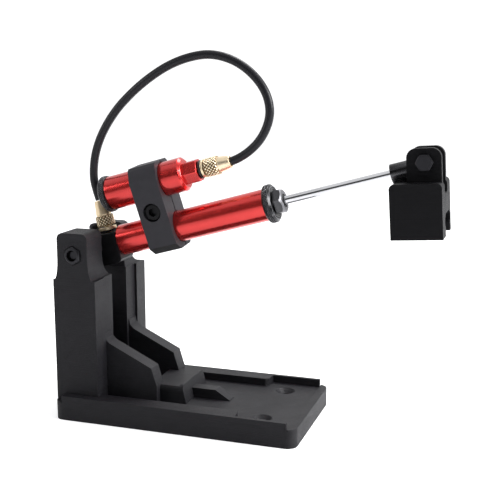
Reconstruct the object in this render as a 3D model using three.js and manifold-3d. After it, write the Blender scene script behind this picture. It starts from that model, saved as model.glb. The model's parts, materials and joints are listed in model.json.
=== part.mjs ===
// Hydraulic arm kit: a small hydraulic damper (main cylinder, remote reservoir and hose) pivoted on a printed stand,
// with a pedal bracket hinged on the end of its rod. Millimetres, +Z up, +X from the tower towards the bracket,
// origin at the centre of the base's underside.
import * as THREE from "three";
import { mergeVertices } from "three/addons/utils/BufferGeometryUtils.js";
import Module from "manifold-3d";

const wasm = await Module();
wasm.setup();

// ---------------------------------------------------------------- driving dimensions
const GAP = 0.3; // clearance between neighbouring pieces
const FINE = 30; // sides of the large turned pieces
const MEDIUM = 20;
const COARSE = 14; // sides of bores and small inner pieces

// printed stand
const BASE_L = 126; // base length (X)
const BASE_W = 67; // base width (Y)
const BASE_R = 5; // vertical corner radius of the base
const FLOOR_Z = 8.5; // tray floor
const RIM_Z = 12.4; // top of the side rims
const LIP_Z = 9.3; // top of the low lip along each end
const RIM_END = 58.5; // the rims stop short of the ends at +-RIM_END
const RIM_T = 1.8; // thin rim thickness
const LEDGE_Y = 24.5; // inner edge of the wide ledge beside the tray
const LEDGE_END = 33; // the wide ledge ends here (X)
const TOWER_X0 = -63;
const TOWER_X1 = -40.2;
const TOWER_Y = 29.1; // half width of the tower
const STEP_Y = 18.6; // outer part of each cheek stands forward beyond this
const SETBACK = 1.2;
const SLOT_Y = 8.2; // half width of the slot between the cheeks
const SHOULDER_Z = 71.3;
const HEAD_X0 = -60.3;
const HEAD_X1 = -43.9;
const HEAD_Z = 94.7;
const HEAD_Z0 = 81.8; // below this each head flares out to its cheek
const NEAR_HEAD = [-29.1, -13.5]; // Y faces of the nut-side head
const FAR_HEAD = [11.2, 18]; // and of the bolt-head side
const BOSS_R = 5.5; // bosses round the pivot bolt, out to the slot's width
const RIB_Y0 = 10.1;
const RIB_Y1 = 18.6;
const STOP_Y = 14.5; // half width of the step block
const STOP_Z = 17.8;
const TAB_Y = 3.2; // half width of the low tab in front of the step block
const TAB_Z = 13.6;
const SCREW_X = 43;
const SCREW_Y = 20.5;

// pivots and arm direction
const PIVOT_X = -51.8;
const PIVOT_Z = 83.8;
const ARM_DEG = 15.7; // the cylinder rises towards the bracket
const CLAMP_DEG = 5; // the clamp and reservoir lean about the cylinder towards -Y
const BRACKET_DEG = 3.8;

// main cylinder, along u from the pivot
const TUBE_R = 7.85;
const TUBE_BORE = 6;
const TUBE_U0 = 13.9;
const TUBE_U1 = 94.2;
const LUG_R = 10.5;
const LUG_Y = 7.3;
const LUG_SEAT = 5.5; // height of the fitting's seat over the axis
const BLEED_U = -0.35; // bleed screw, beside the hose fitting
const RING_R = 9.5;
const RING_U1 = 98.5;
const GLAND_AF = 11;
const GLAND_U1 = 103.1;
const ROD_R = 2.1;
const ROD_U0 = 76;
const SLEEVE_R = 4.65;
const SLEEVE_U0 = 156.2;
const EYE_U = 173.2;
const EYE_V = 2.1;
const EYE_R = 5.6;
const EYE_Y = 4.6;

// reservoir, along u, at height RES_V over the main axis
const RES_V = 24.6;
const RES_R = 8.5;
const RES_BORE = 6.5;
const RES_U0 = 16.2;
const RES_U1 = 58.4;
const HEX_U1 = 65.9;
const HEX_AF = 10.6;
const RES_CAP_U0 = 12.3;
const RES_CAP_R = 9.3;

// clamp
const CLAMP_U0 = 31.9;
const CLAMP_U1 = 46.8;
const CLAMP_Y = 10.8;
const CLAMP_TOP = 34.4;
const CLAMP_BOTTOM = -10.2;
const CLAMP_SCREW_V = 11.1;
const PARTING = 0.35; // half of the gap between the clamp halves

// hose and fittings
const HOSE_R = 2.1;
const FIT_U = 7; // rear fitting's axis
const FIT_NUT_R = 4.35;
const FIT_TIP_R = 2.85;
const REAR_NUT = [8.8, 14.8, 22.5]; // knurled part start, its end, tapered end (over the axis)
const FRONT_NUT = [69.0, 76.4, 82.4];

// pedal bracket, from its pivot
const BOX_X0 = -15.3;
const BOX_X1 = 8.1;
const BOX_Y = 15.8;
const BOX_Z0 = -33.9;
const BOX_Z1 = -8.8;
const EAR_X0 = -8.2;
const EAR_X1 = 7.4;
const EAR_Y0 = 5;
const EAR_Y1 = 8.5;
const EAR_TOP = 6.4;
const SLOT_FLOOR = -14.5;

// ---------------------------------------------------------------- materials
const material = (color, roughness, metalness) =>
  new THREE.MeshStandardMaterial({ color, roughness, metalness });
const PRINT = () => material(0x2e2d31, 0.75, 0);
const RED = () => material(0xc42a26, 0.32, 0.85);
const BLACK_ALU = () => material(0x1d1e21, 0.4, 0.8);
const STEEL_BLACK = () => material(0x25262a, 0.45, 0.7);
const CHROME = () => material(0xc9cbd0, 0.08, 1);
const BRASS = () => material(0xcdb083, 0.28, 1);
const RUBBER = () => material(0x1b1b1d, 0.7, 0);
const HOSE = () => material(0x24242a, 0.5, 0);
const POLYMER = () => material(0xd8d6cf, 0.5, 0);

// ---------------------------------------------------------------- solids
function solid(geometry) {
  const g = geometry.clone();
  g.deleteAttribute("normal");
  if (g.getAttribute("uv")) g.deleteAttribute("uv");
  const m = mergeVertices(g, 1e-4);
  return new wasm.Manifold(
    new wasm.Mesh({
      numProp: 3,
      vertProperties: new Float32Array(m.attributes.position.array),
      triVerts: new Uint32Array(m.index.array),
    }),
  );
}
function geometryOf(s) {
  const m = s.getMesh();
  const positions = new Float32Array(m.numVert * 3);
  for (let i = 0; i < m.numVert; i++)
    for (let k = 0; k < 3; k++)
      positions[3 * i + k] = m.vertProperties[i * m.numProp + k];
  const g = new THREE.BufferGeometry();
  g.setAttribute("position", new THREE.BufferAttribute(positions, 3));
  g.setIndex(new THREE.BufferAttribute(new Uint32Array(m.triVerts), 1));
  g.computeVertexNormals();
  return g;
}
const join = (...s) => s.reduce((a, b) => a.add(b));
const cut = (a, ...s) => s.reduce((x, b) => x.subtract(b), a);

// A closed outline of [a, b] points as a shape.
function outline(points) {
  const s = new THREE.Shape();
  points.forEach(([a, b], i) => (i ? s.lineTo(a, b) : s.moveTo(a, b)));
  s.closePath();
  return s;
}
const extrude = (shape, depth, curveSegments = 8) =>
  new THREE.ExtrudeGeometry(shape, { depth, bevelEnabled: false, curveSegments });
// outline in (x, z), from y0 to y1
function alongY(shape, y0, y1, curveSegments) {
  const g = extrude(shape, y1 - y0, curveSegments);
  g.rotateX(Math.PI / 2);
  g.translate(0, y1, 0);
  return g;
}
// outline in (x, y), from z0 to z1
function alongZ(shape, z0, z1, curveSegments) {
  const g = extrude(shape, z1 - z0, curveSegments);
  g.translate(0, 0, z0);
  return g;
}
// outline in (y, z), from x0 to x1
function alongX(shape, x0, x1, curveSegments) {
  const g = extrude(shape, x1 - x0, curveSegments);
  g.applyMatrix4(
    new THREE.Matrix4().makeBasis(
      new THREE.Vector3(0, 1, 0),
      new THREE.Vector3(0, 0, 1),
      new THREE.Vector3(1, 0, 0),
    ),
  );
  g.translate(x0, 0, 0);
  return g;
}
function box(x0, x1, y0, y1, z0, z1) {
  const g = new THREE.BoxGeometry(x1 - x0, y1 - y0, z1 - z0);
  g.translate((x0 + x1) / 2, (y0 + y1) / 2, (z0 + z1) / 2);
  return g;
}
// A turned solid about X, from a profile of [x, radius] points that starts and ends on the axis or closes on itself.
function turnX(profile, segments = MEDIUM) {
  const g = new THREE.LatheGeometry(
    profile.map(([x, r]) => new THREE.Vector2(r, x)),
    segments,
  );
  g.rotateZ(-Math.PI / 2);
  return g;
}
// The same about Z.
function turnZ(profile, segments = MEDIUM) {
  const g = new THREE.LatheGeometry(
    profile.map(([z, r]) => new THREE.Vector2(r, z)),
    segments,
  );
  g.rotateX(Math.PI / 2);
  return g;
}
// The same about Y.
const turnY = (profile, segments = MEDIUM) =>
  new THREE.LatheGeometry(
    profile.map(([y, r]) => new THREE.Vector2(r, y)),
    segments,
  );
const ring = (a0, a1, r0, r1) => [
  [a0, r0],
  [a0, r1],
  [a1, r1],
  [a1, r0],
  [a0, r0],
];
const rod = (a0, a1, r) => [
  [a0, 0],
  [a0, r],
  [a1, r],
  [a1, 0],
];
// A hexagon of given width across flats; turn rotates it, and at 0 a corner lies on the first axis.
function hexagon(af, turn = 0, cx = 0, cy = 0) {
  const r = af / Math.sqrt(3);
  return outline(
    [...Array(6)].map((_, i) => {
      const a = turn + (i * Math.PI) / 3;
      return [cx + r * Math.cos(a), cy + r * Math.sin(a)];
    }),
  );
}
function roundedRect(x0, x1, y0, y1, r) {
  const s = new THREE.Shape();
  s.moveTo(x0 + r, y0);
  s.lineTo(x1 - r, y0);
  s.absarc(x1 - r, y0 + r, r, -Math.PI / 2, 0, false);
  s.lineTo(x1, y1 - r);
  s.absarc(x1 - r, y1 - r, r, 0, Math.PI / 2, false);
  s.lineTo(x0 + r, y1);
  s.absarc(x0 + r, y1 - r, r, Math.PI / 2, Math.PI, false);
  s.lineTo(x0, y0 + r);
  s.absarc(x0 + r, y0 + r, r, Math.PI, 1.5 * Math.PI, false);
  return s;
}
// points of an arc about (cx, cy), angles in degrees
const arc = (cx, cy, r, a0, a1, n) =>
  [...Array(n + 1)].map((_, i) => {
    const a = ((a0 + ((a1 - a0) * i) / n) * Math.PI) / 180;
    return [cx + r * Math.cos(a), cy + r * Math.sin(a)];
  });

// ---------------------------------------------------------------- scene graph
const kit = new THREE.Group();
function add(group, name, geometryOrSolid, mat) {
  const g = geometryOrSolid.isBufferGeometry
    ? geometryOrSolid
    : geometryOf(geometryOrSolid);
  const mesh = new THREE.Mesh(g, mat);
  mesh.name = name;
  group.add(mesh);
  return mesh;
}

// ---------------------------------------------------------------- printed stand
{
  const H = BASE_W / 2;
  const plate = solid(
    alongZ(roundedRect(-BASE_L / 2, BASE_L / 2, -H, H, BASE_R), 0, FLOOR_Z, 6),
  );
  // the side rims: a wide ledge beside the tray, then a thin wall out to the rim's end
  const rims = [-1, 1].map((s) => {
    const y = (a) => s * a;
    const pts = [
      [-RIM_END, y(H)],
      [RIM_END, y(H)],
      [RIM_END, y(H - RIM_T)],
      [LEDGE_END, y(H - RIM_T)],
      [LEDGE_END - 0.6, y(LEDGE_Y + 1.2)],
      [LEDGE_END - 2.2, y(LEDGE_Y)],
      [-RIM_END, y(LEDGE_Y)],
    ];
    if (s > 0) pts.reverse();
    return solid(alongZ(outline(pts), FLOOR_Z - 2, RIM_Z));
  });
  // a low lip along each end of the tray
  const lips = [-1, 1].map((s) =>
    solid(
      alongZ(
        roundedRect(-BASE_L / 2, BASE_L / 2, -H, H, BASE_R),
        FLOOR_Z - 2,
        LIP_Z,
        6,
      ),
    ).intersect(
      solid(
        s > 0
          ? box(RIM_END + 0.4, 80, -50, 50, 0, 20)
          : box(-80, -RIM_END - 0.4, -50, 50, 0, 20),
      ),
    ),
  );
  // each cheek: a stepped lower body, with a narrower head that flares out to it in concave curves
  const cheeks = [];
  for (const s of [-1, 1]) {
    const span = (a, b) => (s < 0 ? [-b, -a] : [a, b]);
    cheeks.push(
      solid(box(TOWER_X0, TOWER_X1, ...span(STEP_Y, TOWER_Y), FLOOR_Z - 2, SHOULDER_Z)),
      solid(
        box(
          TOWER_X0,
          TOWER_X1 - SETBACK,
          ...span(SLOT_Y, STEP_Y + 0.2),
          FLOOR_Z - 2,
          SHOULDER_Z,
        ),
      ),
    );
  }
  const headR = 3;
  const head = (y0, y1, foot0, foot1) => {
    const n = 5;
    const section = (a) => {
      const c = 1 - Math.cos(a);
      const z = SHOULDER_Z + (HEAD_Z0 - SHOULDER_Z) * (1 - Math.sin(a));
      const xs = [
        HEAD_X0 + (TOWER_X0 + 0.6 - HEAD_X0) * c,
        HEAD_X1 + (TOWER_X1 - 1.4 - HEAD_X1) * c,
      ];
      const ys = [y0 + (foot0 - y0) * c, y1 + (foot1 - y1) * c];
      return xs.flatMap((x) => ys.map((y) => [x, y, z]));
    };
    const parts = [
      solid(
        alongY(
          outline([
            [HEAD_X0, HEAD_Z0 - 0.01],
            [HEAD_X1, HEAD_Z0 - 0.01],
            ...arc(HEAD_X1 - headR, HEAD_Z - headR, headR, 0, 90, 5),
            ...arc(HEAD_X0 + headR, HEAD_Z - headR, headR, 90, 180, 5),
          ]),
          y0,
          y1,
        ),
      ),
    ];
    for (let i = 0; i < n; i++)
      parts.push(
        wasm.Manifold.hull([
          ...section(((i / n) * Math.PI) / 2),
          ...section((((i + 1) / n) * Math.PI) / 2).map(([x, y, z]) => [
            x,
            y,
            i === n - 1 ? z - 0.5 : z,
          ]),
        ]),
      );
    return join(...parts);
  };
  cheeks.push(
    head(...NEAR_HEAD, -TOWER_Y, -SLOT_Y),
    head(...FAR_HEAD, SLOT_Y, TOWER_Y - 0.6),
  );
  // bosses inside the heads carry the damper's eye
  for (const [a, b] of [
    [NEAR_HEAD[1] - 1, -SLOT_Y],
    [SLOT_Y, FAR_HEAD[0] + 1],
  ]) {
    const g = turnY(rod(a, b, BOSS_R), MEDIUM);
    g.translate(PIVOT_X, 0, PIVOT_Z);
    cheeks.push(solid(g));
  }
  // the back wall joins the cheeks behind the slot
  const backWall = solid(
    box(TOWER_X0, TOWER_X0 + 4, -SLOT_Y - 1, SLOT_Y + 1, FLOOR_Z - 2, 58),
  );
  // two gusset ribs from the cheeks down to the step block
  const ribPts = [
    [TOWER_X1 - 2, FLOOR_Z - 2],
    [-12.9, FLOOR_Z - 2],
    [-12.9, 17.5],
    [-15.7, 26.6],
    [-38.6, 37.6],
    [-40.6, 39.6],
    [-41.1, 42.5],
    [TOWER_X1 - 2, 42.5],
  ];
  const ribs = [
    solid(alongY(outline(ribPts), -RIB_Y1, -RIB_Y0)),
    solid(alongY(outline(ribPts), RIB_Y0, RIB_Y1)),
  ];
  // the step block that the ribs run into, with a thin raised lip on its front edge
  const R = 3;
  const stopShape = outline([
    [-STOP_Y, FLOOR_Z - 2],
    [STOP_Y, FLOOR_Z - 2],
    ...arc(STOP_Y - R, STOP_Z - R, R, 0, 90, 4),
    ...arc(-STOP_Y + R, STOP_Z - R, R, 90, 180, 4),
  ]);
  const stop = cut(
    solid(alongX(stopShape, -18, 1)),
    // the front face leans back
    solid(
      alongY(
        outline([
          [1.2, FLOOR_Z],
          [-1.4, STOP_Z + 2],
          [3, STOP_Z + 2],
          [3, FLOOR_Z],
        ]),
        -40,
        40,
      ),
    ),
    // the seat behind the lip
    solid(box(-20, -2.7, -40, 40, STOP_Z - 0.7, STOP_Z + 5)),
  );
  // the low tab
  const tab = solid(
    alongY(
      outline([
        [-1, FLOOR_Z - 2],
        [20.6, FLOOR_Z - 2],
        [20.6, FLOOR_Z + 0.3],
        [12.8, TAB_Z],
        [-1, TAB_Z],
      ]),
      -TAB_Y - 0.4,
      TAB_Y - 0.4,
    ),
  );
  let stand = join(plate, ...rims, ...lips, ...cheeks, backWall, ...ribs, stop, tab);
  // pivot bolt hole, with a hexagon pocket for the nut and room for the bolt's head
  const hole = turnY(rod(-40, 40, 2.75), COARSE);
  hole.translate(PIVOT_X, 0, PIVOT_Z);
  const pocket = (y0, y1) =>
    solid(alongY(hexagon(8.7, Math.PI / 2, PIVOT_X, PIVOT_Z), y0, y1));
  stand = cut(stand, solid(hole), pocket(-40, -25.9), pocket(FAR_HEAD[1], 40));
  // two countersunk screw holes through the tray floor
  for (const s of [-1, 1]) {
    const g = turnZ(
      [
        [-1, 0],
        [-1, 2.65],
        [FLOOR_Z - 2.4, 2.65],
        [FLOOR_Z + 0.2, 5.25],
        [FLOOR_Z + 0.2, 0],
      ],
      COARSE,
    );
    g.translate(SCREW_X, s * SCREW_Y, 0);
    stand = cut(stand, solid(g));
  }
  add(kit, "printed_base", stand, PRINT());
}

// the pivot bolt and its nut
{
  const shank = turnY(
    [
      [-28.4, 0],
      [-28.4, 2.1],
      [-28, 2.45],
      [18.5, 2.45],
      [18.5, 0],
    ],
    COARSE,
  );
  const bolt = join(
    solid(shank),
    solid(alongY(hexagon(8, Math.PI / 2), 18.3, 21.8)),
  );
  add(kit, "pivot_bolt", bolt, STEEL_BLACK()).position.set(
    PIVOT_X,
    0,
    PIVOT_Z,
  );
  const nut = cut(
    solid(alongY(hexagon(8, Math.PI / 2), -30.2, -26.2)),
    solid(turnY(rod(-31, -25, 2.75), COARSE)),
  );
  add(kit, "pivot_nut", nut, STEEL_BLACK()).position.set(PIVOT_X, 0, PIVOT_Z);
}

// ---------------------------------------------------------------- damper
const arm = new THREE.Group();
arm.position.set(PIVOT_X, 0, PIVOT_Z);
arm.rotation.y = (-ARM_DEG * Math.PI) / 180;
kit.add(arm);

// rear cap: a flat-sided eye lug with the hose port's seat and the bleed screw's land, and a spigot inside the tube
{
  const lugShape = outline([
    ...arc(0, 0, LUG_R, 125, 270, 14),
    [10.9, -LUG_R],
    [12.7, -9.9],
    [TUBE_U0 - GAP, -9],
    [TUBE_U0 - GAP, LUG_SEAT],
    [2.45, LUG_SEAT],
    [2.45, LUG_R * Math.sin((125 * Math.PI) / 180)],
  ]);
  const lug = solid(alongY(lugShape, -LUG_Y, LUG_Y));
  const cap = join(
    lug,
    // spigot with a seal groove
    solid(
      turnX(
        [
          [12.6, 0],
          [12.6, 5.7],
          [17.0, 5.7],
          [17.0, 4.4],
          [19.0, 4.4],
          [19.0, 5.7],
          [22.0, 5.7],
          [22.0, 0],
        ],
        MEDIUM,
      ),
    ),
  );
  const pin = solid(turnY(rod(-10, 10, 2.75), COARSE));
  const port = solid(turnZ(rod(-0.01, 12, 2.1), COARSE));
  const portDown = port.translate([FIT_U, 0, 0]);
  const bleedHole = solid(turnZ(rod(5, 12, 1.8), COARSE)).translate([
    BLEED_U,
    0,
    0,
  ]);
  const passage = solid(turnX(rod(FIT_U - 0.5, 24, 1.5), COARSE));
  add(arm, "rear_cap", cut(cap, pin, portDown, passage, bleedHole), BLACK_ALU());
  const bleed = turnZ(
    [
      [5.4, 0],
      [5.4, 1.5],
      [8.9, 1.5],
      [8.9, 2.6],
      [10.7, 2.6],
      [11.5, 2.1],
      [12, 1.2],
      [12, 0],
    ],
    COARSE,
  );
  add(arm, "bleed_screw", bleed, STEEL_BLACK()).position.x = BLEED_U;
  add(
    arm,
    "rear_cap_seal",
    turnX(ring(17.25, 18.75, 4.65, 5.75), MEDIUM),
    RUBBER(),
  );
}

// tube of the main cylinder
add(
  arm,
  "main_tube",
  turnX(
    [
      [TUBE_U0, TUBE_BORE],
      [TUBE_U0, TUBE_R - 0.3],
      [TUBE_U0 + 0.3, TUBE_R],
      [TUBE_U1 - 0.3, TUBE_R],
      [TUBE_U1, TUBE_R - 0.3],
      [TUBE_U1, TUBE_BORE],
      [TUBE_U0, TUBE_BORE],
    ],
    FINE,
  ),
  RED(),
);

// front cap: knurled ring with a spigot inside the tube, carrying the rod bush and the rod seal
add(
  arm,
  "front_cap",
  turnX(
    [
      [83.4, 3.1],
      [83.4, 5.7],
      [86, 5.7],
      [86, 4.6],
      [88, 4.6],
      [88, 5.7],
      [TUBE_U1 + GAP, 5.7],
      [TUBE_U1 + GAP, RING_R - 0.5],
      [TUBE_U1 + GAP + 0.5, RING_R],
      [RING_U1 - 1.1, RING_R],
      [RING_U1, RING_R - 1.2],
      [RING_U1, 4.4],
      [94.5, 4.4],
      [94.5, 3.1],
      [83.4, 3.1],
    ],
    FINE,
  ),
  BLACK_ALU(),
);
add(
  arm,
  "front_cap_seal",
  turnX(ring(86.25, 87.75, 4.85, 5.75), MEDIUM),
  RUBBER(),
);
add(arm, "rod_bush", turnX(ring(84.2, 94.2, 2.3, 2.8), COARSE), BRASS());
add(arm, "rod_seal", turnX(ring(94.8, 97.3, 2.3, 4.1), COARSE), RUBBER());
{
  // gland nut: hexagon outside, threaded into the front cap's mouth
  const hex = solid(
    alongX(hexagon(GLAND_AF, (-10 * Math.PI) / 180), RING_U1 + GAP, GLAND_U1),
  );
  const chamfer = solid(
    turnX(
      [
        [RING_U1 + GAP - 1, 0],
        [RING_U1 + GAP - 1, 7],
        [GLAND_U1 - 1.2, 7],
        [GLAND_U1, 5.6],
        [GLAND_U1, 0],
      ],
      MEDIUM,
    ),
  );
  const gland = cut(
    join(hex.intersect(chamfer), solid(turnX(rod(97.6, 99.5, 4.1), MEDIUM))),
    solid(turnX(rod(97, 101, 2.5), COARSE)),
    solid(turnX(rod(100.6, 104, 3.3), COARSE)),
  );
  add(arm, "gland_nut", gland, BLACK_ALU());
  add(arm, "rod_wiper", turnX(ring(100.9, 103.0, 2.3, 3.0), COARSE), RUBBER());
}

// rod, piston and rod end: these slide together
add(
  arm,
  "piston_rod",
  turnX(
    [
      [ROD_U0, 0],
      [ROD_U0, ROD_R],
      [167.4, ROD_R],
      [167.9, ROD_R - 0.5],
      [167.9, 0],
    ],
    MEDIUM,
  ),
  CHROME(),
);
add(
  arm,
  "piston",
  turnX(
    [
      [74.2, 0],
      [74.2, 5.65],
      [76.6, 5.65],
      [76.6, 4.5],
      [79.0, 4.5],
      [79.0, 5.65],
      [81.6, 5.65],
      [81.6, 2.3],
      [75.7, 2.3],
      [75.7, 0],
    ],
    MEDIUM,
  ),
  POLYMER(),
);
add(arm, "piston_seal", turnX(ring(76.85, 78.75, 4.75, 5.75), MEDIUM), RUBBER());
{
  // rod end: a round sleeve over the rod with a flat-sided eye
  const sleeve = solid(
    turnX(
      [
        [SLEEVE_U0, 0],
        [SLEEVE_U0, SLEEVE_R - 0.3],
        [SLEEVE_U0 + 0.3, SLEEVE_R],
        [170, SLEEVE_R],
        [170, 0],
      ],
      MEDIUM,
    ),
  );
  const eye = turnY(
    [
      [-EYE_Y, 0],
      [-EYE_Y, EYE_R],
      [EYE_Y, EYE_R],
      [EYE_Y, 0],
    ],
    MEDIUM,
  );
  eye.translate(EYE_U, 0, EYE_V);
  const bore = turnY(rod(-8, 8, 2.25), COARSE);
  bore.translate(EYE_U, 0, EYE_V);
  const rodBore = turnX(rod(SLEEVE_U0 - 1, 168.3, ROD_R + GAP), COARSE);
  add(
    arm,
    "rod_end",
    cut(join(sleeve, solid(eye)), solid(bore), solid(rodBore)),
    BLACK_ALU(),
  );
}

// ---------------------------------------------------------------- clamp and reservoir
const top = new THREE.Group();
top.rotation.x = (CLAMP_DEG * Math.PI) / 180;
arm.add(top);

{
  const half = (s) => {
    // outline in (y, z) of one half, on side s
    const pts = [
      [PARTING, CLAMP_BOTTOM],
      [6.2, CLAMP_BOTTOM],
      [CLAMP_Y, -6.5],
      [CLAMP_Y, 27.2],
      [8.2, 33.2],
      [6.6, CLAMP_TOP],
      [PARTING, CLAMP_TOP],
    ].map(([y, z]) => [s * y, z]);
    if (s < 0) pts.reverse();
    return solid(alongX(outline(pts), CLAMP_U0, CLAMP_U1));
  };
  const bore = solid(turnX(rod(20, 60, TUBE_R + 0.25), FINE));
  const boreTop = solid(turnX(rod(20, 60, RES_R + 0.25), FINE)).translate([
    0,
    0,
    RES_V,
  ]);
  const screwU = (CLAMP_U0 + CLAMP_U1) / 2 - 0.3;
  const hole = (r, y0, y1) =>
    solid(turnY(rod(y0, y1, r), MEDIUM)).translate([screwU, 0, CLAMP_SCREW_V]);
  add(
    top,
    "clamp_near",
    cut(half(-1), bore, boreTop, hole(2.75, -12, 2), hole(4.6, -12, -5.0)),
    BLACK_ALU(),
  );
  add(
    top,
    "clamp_far",
    cut(half(1), bore, boreTop, hole(2.75, -2, 9.5)),
    BLACK_ALU(),
  );
  const screw = cut(
    join(
      solid(
        turnY(
          [
            [-9.7, 0],
            [-9.7, 3.9],
            [-9.3, 4.25],
            [-5.3, 4.25],
            [-5.3, 2.45],
            [8.9, 2.45],
            [9.2, 2.1],
            [9.2, 0],
          ],
          MEDIUM,
        ),
      ),
    ),
    solid(alongY(hexagon(4, 0.3), -12, -7.3)),
  );
  add(top, "clamp_screw", screw, STEEL_BLACK()).position.set(
    screwU,
    0,
    CLAMP_SCREW_V,
  );
}

const reservoir = new THREE.Group();
reservoir.position.z = RES_V;
top.add(reservoir);
{
  const turned = solid(
    turnX(
      [
        [RES_U0, RES_BORE],
        [RES_U0, RES_R - 0.3],
        [RES_U0 + 0.3, RES_R],
        [RES_U1 - 1.3, RES_R],
        [RES_U1, RES_R - 1.5],
        [RES_U1, 3],
        [RES_U1 - 5, 3],
        [RES_U1 - 5, RES_BORE],
        [RES_U0, RES_BORE],
      ],
      FINE,
    ),
  );
  const hex = solid(
    alongX(hexagon(HEX_AF), RES_U1 - 3, HEX_U1),
  );
  const hexChamfer = solid(
    turnX(
      [
        [RES_U1 - 4, 0],
        [RES_U1 - 4, 7],
        [HEX_U1 - 0.7, 7],
        [HEX_U1, 5.1],
        [HEX_U1, 0],
      ],
      MEDIUM,
    ),
  );
  const port = solid(turnX(rod(RES_U1 - 8, HEX_U1 + 1, 2.1), COARSE));
  add(
    reservoir,
    "reservoir_body",
    cut(join(turned, hex.intersect(hexChamfer)), port),
    RED(),
  );
}
add(
  reservoir,
  "reservoir_cap",
  turnX(
    [
      [RES_CAP_U0, 0],
      [RES_CAP_U0, RES_CAP_R - 0.9],
      [RES_CAP_U0 + 0.8, RES_CAP_R],
      [RES_U0 - GAP - 0.4, RES_CAP_R],
      [RES_U0 - GAP, RES_CAP_R - 0.4],
      [RES_U0 - GAP, 6.2],
      [17.3, 6.2],
      [17.3, 5.0],
      [19.1, 5.0],
      [19.1, 6.2],
      [21.3, 6.2],
      [21.3, 0],
    ],
    FINE,
  ),
  BLACK_ALU(),
);
add(
  reservoir,
  "reservoir_cap_seal",
  turnX(ring(17.55, 18.85, 5.25, 6.25), MEDIUM),
  RUBBER(),
);
add(
  reservoir,
  "free_piston",
  turnX(
    [
      [38, 0],
      [38, 6.2],
      [40.2, 6.2],
      [40.2, 5.0],
      [42.2, 5.0],
      [42.2, 6.2],
      [44.5, 6.2],
      [44.5, 0],
    ],
    MEDIUM,
  ),
  POLYMER(),
);
add(
  reservoir,
  "free_piston_seal",
  turnX(ring(40.45, 41.95, 5.25, 6.25), MEDIUM),
  RUBBER(),
);

// front hose fitting: sealing ring, brass body with its barb inside the hose nut, knurled and tapered hose nut
add(
  reservoir,
  "front_port_seal",
  turnX(ring(HEX_U1 + GAP, 67.4, 2.6, 4.5), MEDIUM),
  RUBBER(),
);
const fittingBody = (a) => [
  // spigot in the port, flange, barb that the hose is pushed on
  [a - 6.8, 0.9],
  [a - 6.8, 1.8],
  [a - 1.3, 1.8],
  [a - 1.3, 4.6],
  [a - 0.1, 4.6],
  [a - 0.1, 1.2],
  [a + 5.4, 1.2],
  [a + 5.4, 0.8],
  [a - 2, 0.8],
  [a - 6.8, 0.9],
];
const hoseNut = ([a, b, c], tip) => [
  [a + GAP, 3.1],
  [a + GAP, FIT_NUT_R - 0.3],
  [a + GAP + 0.4, FIT_NUT_R],
  [b - 0.3, FIT_NUT_R],
  [b, FIT_NUT_R - 0.35],
  [c, tip],
  [c, 2.4],
  [c - 1.2, 2.4],
  [c - 1.2, 1.6],
  [a + 6.4, 1.6],
  [a + 6.4, 3.1],
  [a + GAP, 3.1],
];
add(
  reservoir,
  "front_fitting_body",
  turnX(fittingBody(FRONT_NUT[0]), MEDIUM),
  BRASS(),
);
add(
  reservoir,
  "front_hose_nut",
  turnX(hoseNut(FRONT_NUT, FIT_TIP_R), MEDIUM),
  BRASS(),
);

// rear hose fitting, square to the cylinder, on the rear cap's seat
const rear = new THREE.Group();
rear.position.x = FIT_U;
arm.add(rear);
add(
  rear,
  "rear_port_seal",
  turnZ(ring(LUG_SEAT + GAP, 6.6, 2.6, 3.9), MEDIUM),
  RUBBER(),
);
add(
  rear,
  "rear_fitting_body",
  turnZ(
    [
      [1.9, 0.9],
      [1.9, 1.8],
      [6.9, 1.8],
      [6.9, 4.1],
      [8.5, 4.1],
      [8.5, 1.2],
      [14, 1.2],
      [14, 0.8],
      [6, 0.8],
      [1.9, 0.9],
    ],
    MEDIUM,
  ),
  BRASS(),
);
add(rear, "rear_hose_nut", turnZ(hoseNut(REAR_NUT, FIT_TIP_R), MEDIUM), BRASS());

// ---------------------------------------------------------------- hose
// It leaves the rear fitting upwards, loops over the reservoir and comes back into the front fitting.
// The far end lies on the leaning reservoir's axis.
{
  const lean = (CLAMP_DEG * Math.PI) / 180;
  const yEnd = -RES_V * Math.sin(lean);
  const zEnd = RES_V * Math.cos(lean);
  const route = [
    [FIT_U, REAR_NUT[2] + GAP],
    [FIT_U - 0.2, 28.0],
    [7.2, 34.0],
    [9.8, 41.7],
    [14.0, 49.0],
    [20.5, 56.4],
    [29.8, 63.8],
    [40.8, 69.8],
    [53.0, 74.5],
    [64.4, 77.2],
    [75.0, 77.8],
    [84.8, 76.4],
    [93.0, 72.6],
    [99.8, 66.9],
    [105.1, 59.3],
    [107.8, 51.7],
    [108.1, 45.5],
    [106.8, 40.3],
    [103.7, 35.2],
    [99.0, 30.6],
    [93.3, 27.3],
    [87.4, 25.3],
    [82.2 + GAP, zEnd],
  ];
  const n = route.length - 1;
  const points = route.map(([u, v], i) => {
    // it leans over gradually, and more so where it comes down to the front fitting
    const t = i / n;
    const y = yEnd * t * t * (3 - 2 * t);
    return new THREE.Vector3(u, y, v);
  });
  const curve = new THREE.CatmullRomCurve3(points, false, "centripetal");
  const section = new THREE.Shape();
  section.absarc(0, 0, HOSE_R, 0, 2 * Math.PI, false);
  const g = new THREE.ExtrudeGeometry(section, {
    steps: 40,
    extrudePath: curve,
    bevelEnabled: false,
    curveSegments: 5,
  });
  add(arm, "hose", g, HOSE());
}

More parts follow.
